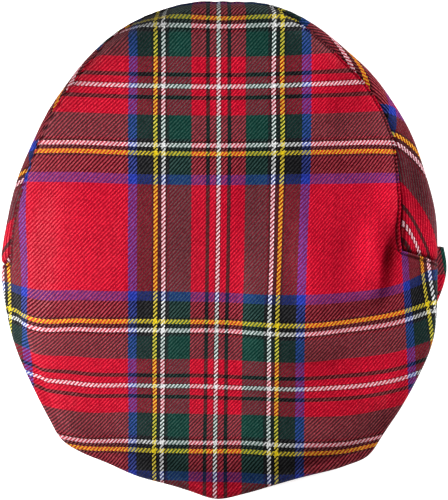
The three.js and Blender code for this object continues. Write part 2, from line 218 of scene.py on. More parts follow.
# Cloth: distance between neighbouring threads, and the tartan's half repeat in threads
WARP_PITCH = 0.53
WEFT_PITCH = 0.575
PITCH = np.array([WARP_PITCH, WEFT_PITCH])
HALF_SETT = 143
THREADS_PER_UV = 100.0

# The camera stands straight over the cap. The tables below say where stripes are seen on a
# level plane at PATTERN_HEIGHT.
CAMERA = {"x": -2.01, "y": 1.295, "z": 1100.0}
PATTERN_HEIGHT = 40.0

# Lengthwise stripes: threads from the centre of the middle white one, then x at each of these y
WARP_STATIONS = (113.4, 48.6, 0.0, -48.6, -113.4)
WARP_LINES = (
    (-221, -119.3, -119.3, -118.6, -114.2, -104.8),
    (-193, -106.9, -106.9, -107.1, -105.6, -101.5),
    (-93, -51.7, -51.8, -51.8, -51.8, -51.7),
    (-65, -37.0, -37.0, -37.0, -37.3, -37.5),
    (-57, -32.7, -32.7, -32.7, -32.9, -33.5),
    (0, -2.9, -2.9, -3.3, -4.1, -4.9),
    (57, 27.0, 26.7, 25.6, 24.3, 24.3),
    (65, 31.6, 31.6, 29.9, 28.6, 28.2),
    (93, 47.0, 47.0, 45.1, 43.5, 43.2),
    (193, 96.1, 95.6, 95.4, 98.4, 101.5),
    (221, 108.0, 106.4, 106.4, 111.9, 116.6),
    (229, 111.8, 110.2, 110.4, 115.8, 121.0),
)

# Crosswise stripes: threads from the centre of the back white one, growing to the front, then y
# at each of these x
WEFT_STATIONS = (-115.5, -104.5, -77.5, -45.5, -2.5, 41.5, 65.5, 78.5, 95.5, 111.5)
WEFT_LINES = (
    (-65, 128.7, 127.9, 127.0, 126.1, 125.4, 126.5, 127.3, 128.1, 129.2, 130.3),
    (0, 91.5, 90.8, 89.9, 88.9, 88.2, 89.3, 90.1, 90.9, 92.1, 93.4),
    (65, 54.3, 54.0, 53.6, 52.5, 52.0, 52.6, 53.2, 53.5, 52.9, 52.4),
    (93, 37.5, 37.0, 36.6, 35.5, 35.1, 35.5, 35.9, 36.2, 36.2, 36.2),
    (193, -18.6, -21.1, -21.8, -22.4, -23.0, -24.3, -23.0, -21.7, -17.8, -10.7),
    (221, -31.6, -36.7, -38.3, -38.4, -39.3, -41.0, -39.2, -37.3, -33.6, -28.6),
    (229, -36.2, -41.2, -43.0, -43.1, -43.9, -45.7, -43.7, -42.1, -38.6, -32.9),
    (286, -62.6, -68.3, -72.7, -73.2, -74.0, -75.0, -74.0, -72.7, -69.8, -63.7),
    (343, -86.4, -94.0, -102.6, -103.2, -104.2, -105.5, -104.8, -102.9, -98.8, -94.0),
    (351, -90.7, -98.3, -106.5, -107.7, -108.7, -110.1, -108.7, -106.4, -102.3, -97.7),
    (379, -108.0, -115.0, -122.6, -124.0, -125.0, -126.4, -124.7, -122.0, -117.7, -113.4),
)

# Cloth that falls more steeply than this goes on from the last stripes that are seen
STEEP_SLOPE = 1.5

# Back panels are cut on the bias from a curved strip. Where along the seam from the temple the
# cut's middle lies, and where the middle stripe and a yellow stripe cross the seam.
PANEL_CUT_RADIUS = 170.0
PANEL_CUT_MIDDLE = 40.0
PANEL_YELLOW = 65
PANEL_MARKS = {
    "right": {"bias": 46.5, "pivot": 16.58, "yellow": 91.0},
    "left": {"bias": 50.5, "pivot": 3.57, "yellow": 85.0},
}

# The peak's cover: its grain leans a little, and a lengthwise and a crosswise green stripe meet
# red at these points of its edge
PEAK_GRAIN_LEAN = 10.3
PEAK_GREEN_AT = {"x": 118.48, "y": 0.18}
PEAK_RED_AT = {"x": 120.68, "y": -12.02}
GREEN_BEGINS = 28

# Rows of points: distances in millimetres from a cloth edge, where the rows are closest
EDGE_DISTANCES = np.array([0.0, 0.07, 0.25, 0.5, 0.8, 1.1, 1.4, 1.7, 2.0, 2.3, 2.6, 3.0, 3.6, 4.4])


def hermite(start, start_slope, end, end_slope, t):
    """A cubic from start to end, with a slope at each."""
    t2 = t * t
    t3 = t2 * t
    return (start * (2 * t3 - 3 * t2 + 1) + start_slope * (t3 - 2 * t2 + t)
            + end * (3 * t2 - 2 * t3) + end_slope * (t3 - t2))


def smooth_curve(marks, values, turn=None):
    """A smooth function through values at marks, which may close on itself after a turn."""
    marks = np.asarray(marks, float)
    values = np.asarray(values, float)
    first = marks[0]
    if turn:
        marks = np.concatenate([marks[-2:] - turn, marks, marks[:2] + turn])
        values = np.concatenate([values[-2:], values, values[:2]])
    widths = np.diff(marks)
    rises = np.diff(values) / widths
    slopes = np.empty_like(values)
    slopes[1:-1] = (rises[:-1] * widths[1:] + rises[1:] * widths[:-1]) / (widths[:-1] + widths[1:])
    slopes[0] = rises[0]
    slopes[-1] = rises[-1]

    def curve(at):
        at = np.asarray(at, float)
        if turn:
            at = first + np.mod(at - first, turn)
        else:
            at = np.clip(at, marks[0], marks[-1])
        i = np.clip(np.searchsorted(marks, at, side="right") - 1, 0, len(widths) - 1)
        t = (at - marks[i]) / widths[i]
        return hermite(values[i], slopes[i] * widths[i], values[i + 1], slopes[i + 1] * widths[i], t)

    return curve


def section_curves():
    """A closed smooth curve for each column of the section table."""
    columns = list(zip(*SECTION_ROWS))
    azimuths = columns[1]
    return {name: smooth_curve(azimuths, values, FULL_TURN)
            for name, values in zip(SECTION_COLUMNS[2:], columns[2:])}


SECTION = section_curves()
peak_edge_reach = smooth_curve(*zip(*PEAK_EDGE_ROWS))


def polar_points(azimuth, reach, height):
    """Points at an azimuth, reach and height from the pole's axis."""
    angle = np.radians(azimuth)
    x = POLE["x"] + reach * np.cos(angle)
    y = POLE["y"] + reach * np.sin(angle)
    return np.stack(np.broadcast_arrays(x, y, height), axis=-1)


def section_at(azimuth):
    """Every size of the section at an azimuth."""
    section = {name: curve(azimuth) for name, curve in SECTION.items()}
    section["rim_height"] = np.maximum(section["rim_height"], 0)
    angle = np.radians(azimuth)
    section["rise"] = FALL_TO_FRONT * np.sin(angle) - FALL_TO_RIGHT * np.cos(angle)
    section["drop"] = POLE["z"] + section["rise"] * section["seam_reach"] - section["seam_height"]
    return section


def crown_part(section, share):
    """Reach and height of the crown's top at a share of the way to the seam."""
    straight = section["straight"]
    roll = section["roll"]
    dome = (1 + straight) * share ** 2 / (1 + straight * share ** 2)
    fall = (1 - roll) * dome + roll * share ** ROLL_POWER
    reach = share * section["seam_reach"]
    return reach, POLE["z"] + section["rise"] * reach - section["drop"] * fall


def seam_slope(section):
    """Slope of the crown's top where it reaches the seam."""
    roll = section["roll"]
    fall = (1 - roll) * 2 / (1 + section["straight"]) + roll * ROLL_POWER
    return section["rise"] - section["drop"] * fall / section["seam_reach"]


def shoulder_part(section, t):
    """Reach and height from the seam out to the widest point."""
    seam = (section["seam_reach"], section["seam_height"])
    wide = (section["wide_reach"], section["wide_height"])
    chord = np.hypot(wide[0] - seam[0], wide[1] - seam[1])
    slope = seam_slope(section)
    step = chord / np.hypot(1, slope)
    return (hermite(seam[0], step, wide[0], 0, t),
            hermite(seam[1], step * slope, wide[1], -chord, t))


def under_part(section, t):
    """Reach and height from the widest point in to the rim."""
    wide = (section["wide_reach"], section["wide_height"])
    rim = (section["rim_reach"], section["rim_height"])
    chord = np.hypot(rim[0] - wide[0], rim[1] - wide[1])
    return (hermite(wide[0], 0, rim[0], rim[0] - wide[0], t),
            hermite(wide[1], -chord, rim[1], rim[1] - wide[1], t))


def smooth_points(azimuth, along):
    """The smooth outer face of the cloth, before its dents."""
    azimuth, along = np.broadcast_arrays(np.asarray(azimuth, float), np.asarray(along, float))
    section = section_at(azimuth)
    crown = crown_part(section, np.minimum(along, AT_SEAM))
    shoulder = shoulder_part(section, np.clip(along - AT_SEAM, 0, 1))
    under = under_part(section, np.clip(along - AT_WIDE, 0, 1))
    on_crown = along <= AT_SEAM
    on_shoulder = along < AT_WIDE
    reach, height = (np.where(on_crown, c, np.where(on_shoulder, s, u))
                     for c, s, u in zip(crown, shoulder, under))
    return polar_points(azimuth, reach, height)


def unit(vectors):
    """The vectors with a length of 1."""
    return vectors / np.linalg.norm(vectors, axis=-1, keepdims=True)


def tangent_points(azimuth):
    """Directions around the pole, which also hold at the pole itself."""
    angle = np.radians(azimuth)
    return np.stack([-np.sin(angle), np.cos(angle), np.zeros_like(angle)], axis=-1)


def outward_normals(azimuth, along):
    """Directions straight out of the smooth face."""
    turn = 0.2
    step = 0.004
    inner = np.maximum(along - step, step)
    outer = np.minimum(inner + 2 * step, AT_RIM)
    outwards = smooth_points(azimuth, outer) - smooth_points(azimuth, inner)
    around = smooth_points(azimuth + turn, along) - smooth_points(azimuth - turn, along)
    around = around + np.where(along < step, 1.0, 0.0)[..., None] * tangent_points(azimuth)
    return unit(np.cross(outwards, around))


def turn_between(azimuth, mark):
    """Degrees from a mark to an azimuth, the short way round."""
    return np.mod(azimuth - mark + FULL_TURN / 2, FULL_TURN) - FULL_TURN / 2


def soft_spot(azimuth, along, at, station, turn_spread, along_spread):
    """A soft bump of 1 at an azimuth and a station."""
    spread = (turn_between(azimuth, at) / turn_spread) ** 2 + ((along - station) / along_spread) ** 2
    return np.exp(-spread)


def fold_depth(azimuth, along):
    """How far the dents press the cloth in."""
    return sum(pressed * soft_spot(azimuth, along, at, station, *spreads)
               for at, station, pressed, *spreads in FOLDS)


def crease_depth(points):
    """How far the creases press the cloth in."""
    depth = np.zeros(points.shape[:-1])
    for x, y, pressed, half_width, half_length, heading in CREASES:
        angle = np.radians(heading)
        along = (points[..., 0] - x) * np.cos(angle) + (points[..., 1] - y) * np.sin(angle)
        across = (points[..., 1] - y) * np.cos(angle) - (points[..., 0] - x) * np.sin(angle)
        spread = (along / half_length) ** 2 + (across / half_width) ** 2
        depth = depth + pressed * np.exp(-spread)
    return depth


def painted_light_and_shade(azimuth, along):
    """Painted shade in the cloth's hollows and where it turns down, and a painted highlight on its swells.
    """
    shade = np.clip(1 - PAINTED_LIGHT_PER_MM * crease_depth(smooth_points(azimuth, along)), *PAINTED_LIGHT_RANGE)
    for at, station, lost, *spreads in PAINTED_EDGE_SHADE:
        shade = shade * (1 - lost * soft_spot(azimuth, along, at, station, *spreads))
    return shade


def wave_height(points):
    """How far the soft cloth stands out in its slow waves."""
    height = np.zeros(points.shape[:-1])
    for rise, length, heading, phase in WAVES:
        angle = np.radians(heading)
        travel = points[..., 0] * np.cos(angle) + points[..., 1] * np.sin(angle)
        height = height + rise * np.sin(2 * np.pi * travel / length + phase)
    return height


def near(distance, place, reach):
    """A soft bump of 1 at a place."""
    return np.exp(-((distance - place) / reach) ** 2)


def puckers(run):
    """Small waves along the run of a seam."""
    wander = PUCKER_WANDER * np.sin(run / PUCKER_WANDER_LENGTH)
    return PUCKER * np.sin(2 * np.pi * run / PUCKER_LENGTH + wander)


def seam_depth(distance, run, puff):
    """How far a seam pulls in the cloth at a distance from it, with small puckers along its run."""
    pull = SEAM_PULL * near(distance, 0, SEAM_PULL_REACH)
    swell = puff * SEAM_PUFF * near(distance, SEAM_PUFF_AT, SEAM_PUFF_REACH)
    return pull - swell + puckers(run) * near(distance, 0, 2 * SEAM_PULL_REACH)


def painted_shading(distance):
    """How dark the painted shadow of a seam makes the cloth."""
    return 1 - SEAM_SHADE * near(distance, 0, SEAM_SHADE_REACH)


def tuck_depth(distance):
    """How deep a panel lies at a distance from the edge that covers it, negative under that edge."""
    share = np.clip((distance + TUCK_UNDER) / TUCK_WIDTH, 0, 1)
    return TUCK_DEPTH * (1 - share * share * (3 - 2 * share))


def crown_edge_depth(distance, run):
    """How far the edge stitches pull in the crown's cloth, with the ridge outside them."""
    groove = GROOVE_DEPTH * near(distance, GROOVE_AT, GROOVE_REACH)
    ridge = RIDGE_RISE * near(distance, RIDGE_AT, RIDGE_REACH)
    return groove - ridge + puckers(run) * near(distance, GROOVE_AT, 3 * GROOVE_AT)


def painted_groove_shade(distance):
    """How dark the painted shade makes the crown's cloth in the groove of its edge stitches."""
    return 1 - GROOVE_SHADE * near(distance, GROOVE_AT, GROOVE_REACH)


def edge_inset(distance):
    """How far each face draws in towards the cloth's middle, which rounds its cut edge."""
    short = np.clip(1 - distance / CLOTH_EDGE_ROUND, 0, 1)
    return CLOTH_EDGE_ROUND * (1 - np.sqrt(1 - short ** 2))


class Sections:
    """Sections at a row of azimuths, with lengths measured along the cloth from the pole."""

    STEPS = 300

    def __init__(self, azimuths):
        self.azimuths = np.asarray(azimuths, float)
        self.stations = np.linspace(0, AT_RIM, int(AT_RIM) * self.STEPS + 1)
        points = smooth_points(self.azimuths[None, :], self.stations[:, None])
        self.reach = np.hypot(points[..., 0] - POLE["x"], points[..., 1] - POLE["y"])
        self.height = points[..., 2]
        steps = np.hypot(np.diff(self.reach, axis=0), np.diff(self.height, axis=0))
        self.lengths = np.vstack([np.zeros(len(self.azimuths)), np.cumsum(steps, axis=0)])
        self.seam = self.lengths[self.STEPS]
        self.rim = self.lengths[-1]

    def along(self, lengths):
        """Stations at lengths, one column for each azimuth."""
        columns = [np.interp(lengths[:, i], self.lengths[:, i], self.stations)
                   for i in range(len(self.azimuths))]
        return np.stack(columns, axis=1)

    def length_at(self, stations):
        """Lengths at one station for each azimuth."""
        return np.array([np.interp(station, self.stations, self.lengths[:, i])
                         for i, station in enumerate(stations)])

    def steep_station(self):
        """The first station, past half the crown, where cloth is too steep to be read from above."""
        run = np.diff(self.reach, axis=0)
        fall = -np.diff(self.height, axis=0)
        steep = fall > STEEP_SLOPE * run
        steep[: self.STEPS // 2] = False
        return self.stations[np.argmax(steep, axis=0)]


def rows_between(start, end, count, at_start=True, at_end=True, crowd=1.0):
    """Lengths from start to end for every azimuth, with close rows at the chosen edges. A crowd
    over 1 also brings the other rows closer to the end."""
    first = EDGE_DISTANCES if at_start else np.zeros(1)
    last = EDGE_DISTANCES[::-1] if at_end else np.zeros(1)
    shares = np.linspace(0, 1, count + 2)[1:-1, None]
    low = start + first[-1]
    high = end - last[0]
    middle = high - (high - low) * (1 - shares) ** crowd
    return np.vstack([start + first[:, None], middle, end - last[:, None]])


def azimuths_between(start, end, step, reach, at_start=True, at_end=True):
    """Azimuths from start to end, with close columns at the chosen edges."""
    turn = np.degrees(EDGE_DISTANCES / reach)
    first = turn if at_start else np.zeros(1)
    last = turn[::-1] if at_end else np.zeros(1)
    low = start + first[-1]
    high = end - last[0]
    count = int(round((high - low) / step)) + 1
    middle = np.linspace(low, high, count)[1:-1]
    return np.concatenate([start + first, middle, end - last])


def seen_places(points):
    """Where points are seen on the level plane that the stripe tables are measured on."""
    scale = (CAMERA["z"] - PATTERN_HEIGHT) / (CAMERA["z"] - points[..., 2])
    x = (points[..., 0] - CAMERA["x"]) * scale
    y = (points[..., 1] - CAMERA["y"]) * scale
    return x, y


def threads_from_lines(stations, lines, across, along):
    """Thread number at places, from a table of stripes with their place at each station."""
    order = np.argsort(stations)
    marks = np.asarray(stations)[order]
    places = [smooth_curve(marks, np.asarray(line[1:])[order])(along) for line in lines]
    counts = [line[0] for line in lines]
    threads = np.zeros(across.shape)
    last = len(lines) - 2
    for i in range(len(lines) - 1):
        share = (across - places[i]) / (places[i + 1] - places[i])
        inside = np.ones(across.shape, bool)
        if i > 0:
            inside &= share >= 0
        if i < last:
            inside &= share < 1
        threads = np.where(inside, counts[i] + share * (counts[i + 1] - counts[i]), threads)
    return threads


def plan_threads(points):
    """Warp and weft thread at points of the top panel, from the stripes seen from above."""
    x, y = seen_places(points)
    warp = threads_from_lines(WARP_STATIONS, WARP_LINES, x, y)
    weft = threads_from_lines(WEFT_STATIONS, WEFT_LINES, y, x)
    return np.stack([warp, weft], axis=-1)


def folded_points(azimuth, along):
    """The outer face with its dents, and the directions straight out of it."""
    normals = outward_normals(azimuth, along)
    points = smooth_points(azimuth, along)
    depth = fold_depth(azimuth, along) + crease_depth(points)
    return points - normals * depth[..., None], normals


def crown_threads(sections, along, lengths):
    """Warp and weft thread of the top panel. Steep cloth goes on from the steep station."""
    soft = np.array([0.25, 0.5, 0.25])
    soft_passes = 3
    lead = 0.03
    azimuths = sections.azimuths
    steep = sections.steep_station()
    for _ in range(soft_passes):
        steep = np.convolve(np.pad(steep, 1, mode="edge"), soft, mode="valid")
    here, _ = folded_points(azimuths, steep)
    before, _ = folded_points(azimuths, steep - lead)
    here_threads = plan_threads(here)
    heading = unit((here_threads - plan_threads(before)) * PITCH) / PITCH
    beyond = lengths - sections.length_at(steep)
    points, _ = folded_points(azimuths[None, :], along)
    flat = plan_threads(points)
    carried = here_threads[None] + heading[None] * beyond[..., None]
    return np.where((along <= steep)[..., None], flat, carried)


def panel_threads(side, run, down):
    """Warp and weft thread of a back panel at a run along the seam and a way down from it."""
    radius = PANEL_CUT_RADIUS
    marks = PANEL_MARKS[side]
    bias = np.radians(marks["bias"])

    def on_cut(along, depth):
        angle = (along - PANEL_CUT_MIDDLE) / radius
        x = (radius - depth) * np.sin(angle)
        y = (radius - depth) * np.cos(angle) - radius
        first = x * np.sin(bias) - y * np.cos(bias)
        second = x * np.cos(bias) + y * np.sin(bias)
        return first, second

    first, second = on_cut(run, down)
    pivot, _ = on_cut(marks["pivot"], 0.0)
    _, yellow = on_cut(marks["yellow"], 0.0)
    warp = (first - pivot) / WARP_PITCH
    weft = PANEL_YELLOW - (second - yellow) / WEFT_PITCH
    return np.stack([warp, weft], axis=-1)


def peak_threads(x, y):
    """Warp and weft thread of the peak's cover in plan."""
    lean = np.radians(PEAK_GRAIN_LEAN)
    across = (x - PEAK_GREEN_AT["x"]) * np.cos(lean) + (y - PEAK_GREEN_AT["y"]) * np.sin(lean)
    back = (y - PEAK_RED_AT["y"]) * np.cos(lean) - (x - PEAK_RED_AT["x"]) * np.sin(lean)
    warp = GREEN_BEGINS + across / WARP_PITCH
    weft = -GREEN_BEGINS - back / WEFT_PITCH
    return np.stack([warp, weft], axis=-1)


class ClothSheet:
    """Gathers a sheet's outer and inner points, threads, shades and faces, and closes its own edges."""

    def __init__(self):
        self.outer = []
        self.inner = []
        self.threads = []
        self.shades = []
        self.faces = []
        self.count = 0

    def add_points(self, outer, inner, threads, shades):
        """Adds a grid of points and returns their numbers."""
        shape = outer.shape[:-1]
        size = int(np.prod(shape))
        self.outer.append(outer.reshape(-1, 3))
        self.inner.append(inner.reshape(-1, 3))
        self.threads.append(threads.reshape(-1, 2))
        self.shades.append(shades.reshape(-1))
        numbers = self.count + np.arange(size).reshape(shape)
        self.count += size
        return numbers

    def add_grid(self, numbers):
        """Faces between the rows of a grid, upper row first."""
        a = numbers[:-1, :-1]
        b = numbers[:-1, 1:]
        c = numbers[1:, 1:]
        d = numbers[1:, :-1]
        self.faces.extend(np.stack([a, d, c, b], axis=-1).reshape(-1, 4).tolist())

    def add_fan(self, centre, ring):
        """Faces between a centre point and a ring around it."""
        self.faces.extend([centre, int(a), int(b)] for a, b in zip(ring[:-1], ring[1:]))

    def edge_walls(self):
        """Faces that close the sheet between its outer and inner edges."""
        directed = set()
        for face in self.faces:
            directed.update(zip(face, face[1:] + face[:1]))
        return [[end, start, start + self.count, end + self.count]
                for start, end in sorted(directed) if (end, start) not in directed]

    def make(self, name):
        """The finished piece, a closed mesh with its threads as a UV map."""
        inner_faces = [[number + self.count for number in reversed(face)] for face in self.faces]
        points = np.vstack(self.outer + self.inner) * MM
        faces = self.faces + inner_faces + self.edge_walls()
        threads = np.vstack(self.threads + self.threads)
        shades = np.concatenate(self.shades + self.shades)
        return mesh_piece(name, points, faces, threads, shades)


def mesh_piece(name, points, faces, threads, shades, loop_threads=None):
    """An object with a smooth mesh, a UV map that counts threads and a painted shading value for each
    point.
    """
    mesh = bpy.data.meshes.new(name)
    mesh.from_pydata(points.tolist(), [], faces)
    mesh.shade_smooth()
    layer = mesh.uv_layers.new(name="threads")
    if loop_threads is None:
        corners = np.empty(len(mesh.loops), dtype=np.int32)
        mesh.loops.foreach_get("vertex_index", corners)
        loop_threads = threads[corners]
    layer.uv.foreach_set("vector", (loop_threads / THREADS_PER_UV).astype(np.float32).ravel())
    shade = mesh.attributes.new("painted_shading", "FLOAT", "POINT")
    shade.data.foreach_set("value", shades.astype(np.float32))
    mesh.validate()
    piece = bpy.data.objects.new(name, mesh)
    bpy.context.scene.collection.objects.link(piece)
    return piece


def cloth_faces(azimuth, along, edge_distance, pressed):
    """Outer and inner face of the cloth with its waves, what presses it in and its rounded edge."""
    points, normals = folded_points(azimuth, along)
    inset = edge_inset(edge_distance)
    depth = pressed - wave_height(points)
    outer = points - normals * (depth + inset)[..., None]
    inner = points - normals * (depth + CLOTH - inset)[..., None]
    return outer, inner


def turn_to_temple(azimuths):
    """Degrees from azimuths to the nearer temple."""
    to_right = np.abs(turn_between(azimuths, RIGHT_TEMPLE))
    to_left = np.abs(turn_between(azimuths, LEFT_TEMPLE))
    return np.minimum(to_right, to_left)


def crown_cloth(sections, lengths, along, edge_distance, groove_distance, run):
    """Outer and inner points, threads and shades of the top panel at rows of lengths."""
    azimuths = np.broadcast_to(sections.azimuths[None], along.shape)
    pressed = crown_edge_depth(groove_distance, run)
    outer, inner = cloth_faces(azimuths, along, edge_distance, pressed)
    threads = crown_threads(sections, along, lengths)
    # Painted shade in the groove and at turned-down edges, and painted shade and highlight on the folds
    shades = painted_groove_shade(groove_distance) * painted_light_and_shade(azimuths, along)
    return outer, inner, threads, shades


def crown_top():
    """The top panel: the crown out to the seam, and the wings down to the peak in front."""
    crown_step = 0.8
    crown_rows = 56
    crown_crowd = 1.5
    wing_rows = 24
    back = azimuths_between(RIGHT_TEMPLE, LEFT_TEMPLE, crown_step, TEMPLE_REACH)
    front = azimuths_between(LEFT_TEMPLE, RIGHT_TEMPLE + FULL_TURN, crown_step, TEMPLE_REACH)
    around = np.concatenate([back[:-1], front[:-1]])
    sheet = ClothSheet()

    sections = Sections(around)
    at_pole = np.zeros(len(around))
    lengths = rows_between(at_pole, sections.seam, crown_rows, at_start=False, crowd=crown_crowd)
    along = sections.along(lengths)
    along[-1] = AT_SEAM
    on_back = (around >= RIGHT_TEMPLE) & (around <= LEFT_TEMPLE)
    beside = np.where(on_back, 0, np.radians(turn_to_temple(around)) * TEMPLE_REACH)
    distance = np.hypot(sections.seam - lengths, beside[None])
    run = np.radians(around)[None] * TEMPLE_REACH
    top_cloth = crown_cloth(sections, lengths, along, distance, distance, run)
    rings = sheet.add_points(*(values[1:] for values in top_cloth))
    rings = np.hstack([rings, rings[:, :1]])
    pole = sheet.add_points(*(values[0, :1] for values in top_cloth))
    sheet.add_fan(int(pole[0]), rings[0])
    sheet.add_grid(rings)

    sections = Sections(front)
    lengths = rows_between(sections.seam, sections.rim, wing_rows, at_start=False)
    along = sections.along(lengths)
    along[0] = AT_SEAM
    from_pole = smooth_points(front[None], along) - [POLE["x"], POLE["y"], 0]
    reach = np.hypot(from_pole[..., 0], from_pole[..., 1])
    beside = np.radians(turn_to_temple(front))[None] * reach
    distance = np.minimum(beside, sections.rim - lengths)
    wing_cloth = crown_cloth(sections, lengths, along, distance, beside, lengths)
    wings = sheet.add_points(*(values[1:] for values in wing_cloth))
    shoulder = rings[-1, len(back) - 1:]
    sheet.add_grid(np.vstack([shoulder[None], wings]))
    return sheet.make("crown_top")


def back_panel(side, start, end):
    """One back panel, from under the crown's edge down to the rim. At the temples it lies under
    the wings, and at the centre back the left panel lies under the right one."""
    panel_step = 0.7
    panel_rows = 46
    column_reach = 105.0
    on_right = side == "right"
    way = 1 if on_right else -1
    columns = azimuths_between(start, end, panel_step, column_reach)
    sections = Sections(columns)
    lengths = rows_between(sections.seam - TUCK_UNDER, sections.rim, panel_rows)
    along = sections.along(lengths)
    along[-1] = AT_RIM
    seam_points = smooth_points(columns, AT_SEAM)
    steps = np.linalg.norm(np.diff(seam_points, axis=0), axis=-1)
    travel = np.concatenate([[0], np.cumsum(steps)])
    temple = np.interp(RIGHT_TEMPLE if on_right else LEFT_TEMPLE, columns, travel)
    centre = np.interp(CENTRE_BACK, columns, travel)
    run = way * (travel - temple)
    to_centre = way * (centre - travel)
    down = lengths - sections.seam
    upright = np.broadcast_to(np.minimum(run, to_centre), down.shape)
    to_end = np.broadcast_to(np.minimum(travel, travel[-1] - travel), down.shape)
    distance = np.minimum(np.minimum(lengths - lengths[0], to_end), sections.rim - lengths)
    tuck = np.maximum(tuck_depth(down), tuck_depth(run if on_right else upright))
    pull = seam_depth(down, run[None], 1.0)
    upright_pull = seam_depth(upright, lengths, UPRIGHT_PUFF_SHARE)
    pressed = tuck + pull + upright_pull
    azimuth_grid = np.broadcast_to(columns[None], along.shape)
    outer, inner = cloth_faces(azimuth_grid, along, distance, pressed)
    threads = panel_threads(side, run[None], down)
    # Painted shadow beside the seams, painted shade at turned-down edges, and painted shade and highlight
    # on the folds
    shades = painted_shading(down) * painted_shading(upright) * painted_light_and_shade(azimuth_grid, along)
    sheet = ClothSheet()
    sheet.add_grid(sheet.add_points(outer, inner, threads, shades))
    return sheet.make(f"back_panel_{side}")


def wing_groove(azimuth):
    """Azimuths, stations and lengths of the groove down one wing, from the seam to the last stitch."""
    wing_points = 40
    wing = Sections([azimuth])
    lengths = np.linspace(wing.seam[0], wing.rim[0] - STITCHES_TO_RIM, wing_points)
    along = wing.along(lengths[:, None])[:, 0]
    return np.full(wing_points, azimuth), along, lengths


def groove_points():
    """Points just over the groove of the crown's edge, from rim to rim."""
    seam_step = 0.5
    turn = np.degrees(GROOVE_AT / TEMPLE_REACH)
    seam_azimuths = np.arange(RIGHT_TEMPLE, LEFT_TEMPLE + seam_step / 2, seam_step)
    sections = Sections(seam_azimuths)
    seam_along = sections.along((sections.seam - GROOVE_AT)[None])[0]
    up_right_wing = [values[::-1] for values in wing_groove(RIGHT_TEMPLE - turn)]
    over_seam = (seam_azimuths, seam_along, np.radians(seam_azimuths) * TEMPLE_REACH)
    down_left_wing = wing_groove(LEFT_TEMPLE + turn)
    parts = zip(up_right_wing, over_seam, down_left_wing)
    azimuth, along, run = (np.concatenate(values) for values in parts)
    pressed = crown_edge_depth(GROOVE_AT, run)
    outer, _ = cloth_faces(azimuth, along, np.full(len(run), GROOVE_AT), pressed)
    return outer + outward_normals(azimuth, along) * STITCH_LIFT


def stitch_tree():
    """Geometry nodes: stitches of one size spaced along a line."""
    tree = bpy.data.node_groups.new("stitches_along_line", "GeometryNodeTree")
    face = tree.interface
    face.new_socket("Line", in_out="INPUT", socket_type="NodeSocketGeometry")
    for name in ("Stitch Length", "Stitch Gap", "Thickness"):
        face.new_socket(name, in_out="INPUT", socket_type="NodeSocketFloat")
    face.new_socket("Thread", in_out="INPUT", socket_type="NodeSocketMaterial")
    face.new_socket("Stitches", in_out="OUTPUT", socket_type="NodeSocketGeometry")
    build = NodeBuilder(tree)
    given = build.add("NodeGroupInput")
    result = build.add("NodeGroupOutput")
    curve = build.add("GeometryNodeMeshToCurve", {"Mesh": given.outputs["Line"]})
    pitch = build.math("ADD", given.outputs["Stitch Length"], given.outputs["Stitch Gap"])
    points = build.add("GeometryNodeCurveToPoints", {"Curve": curve.outputs["Curve"], "Length": pitch},
                       mode="LENGTH")
    half_length = build.math("MULTIPLY", given.outputs["Stitch Length"], 0.5)
    half_thick = build.math("MULTIPLY", given.outputs["Thickness"], 0.5)
    size = build.add("ShaderNodeCombineXYZ", {"X": half_thick, "Y": half_thick, "Z": half_length})
    ball = build.add("GeometryNodeMeshUVSphere", {"Segments": 8, "Rings": 6, "Radius": 1.0})
    stitch = build.add("GeometryNodeTransform", {"Geometry": ball.outputs["Mesh"],
                                                 "Scale": size.outputs["Vector"]})
    placed = build.add("GeometryNodeInstanceOnPoints", {
        "Points": points.outputs["Points"],
        "Instance": stitch.outputs["Geometry"],
        "Rotation": points.outputs["Rotation"],
    })
    real = build.add("GeometryNodeRealizeInstances", {"Geometry": placed.outputs["Instances"]})
    smooth = build.add("GeometryNodeSetShadeSmooth", {"Geometry": real.outputs["Geometry"]})
    dyed = build.add("GeometryNodeSetMaterial", {"Geometry": smooth.outputs["Geometry"],
                                                 "Material": given.outputs["Thread"]})
    tree.links.new(dyed.outputs["Geometry"], result.inputs["Stitches"])
    return tree


def stitch_row(name, points, tree, thread):
    """A row of stitches along points, as a plain mesh."""
    line = bpy.data.meshes.new(name)
    line.from_pydata((points * MM).tolist(), [(i, i + 1) for i in range(len(points) - 1)], [])
    piece = bpy.data.objects.new(name, line)
    bpy.context.scene.collection.objects.link(piece)
    modifier = piece.modifiers.new("stitches", "NODES")
    modifier.node_group = tree
    values = {
        "Stitch Length": STITCH_LENGTH * MM,
        "Stitch Gap": STITCH_GAP * MM,
        "Thickness": STITCH_THICKNESS * MM,
        "Thread": thread,
    }
    for item in tree.interface.items_tree:
        if item.name in values:
            modifier[item.identifier] = values[item.name]
    evaluated = piece.evaluated_get(bpy.context.evaluated_depsgraph_get())
    mesh = bpy.data.meshes.new_from_object(evaluated)
    piece.modifiers.remove(modifier)
    piece.data = mesh
    bpy.data.meshes.remove(line)
    mesh.name = name
    return piece


def head_reach(azimuth):
    """Reach from the pole to the head opening's ellipse."""
    angle = np.radians(azimuth)
    cos = np.cos(angle)
    sin = np.sin(angle)
    x = POLE["x"] - HEAD["centre_x"]
    y = POLE["y"] - HEAD["centre_y"]
    width = HEAD["half_width"]
    length = HEAD["half_length"]
    a = (cos / width) ** 2 + (sin / length) ** 2
    b = x * cos / width ** 2 + y * sin / length ** 2
    c = (x / width) ** 2 + (y / length) ** 2 - 1
    return (-b + np.sqrt(b * b - a * c)) / a


def head_height(azimuth, reach, level):
    """Height of the peak along the head opening, level at the temples and rising to the brow."""
    y = POLE["y"] + reach * np.sin(np.radians(azimuth))
    brow_y = HEAD["centre_y"] - HEAD["half_length"]
    share = (HEAD["temple_y"] - y) / (HEAD["temple_y"] - brow_y)
    return np.where(share <= 0, level, TEMPLE_HEIGHT + (BROW_HEIGHT - TEMPLE_HEIGHT) * share)


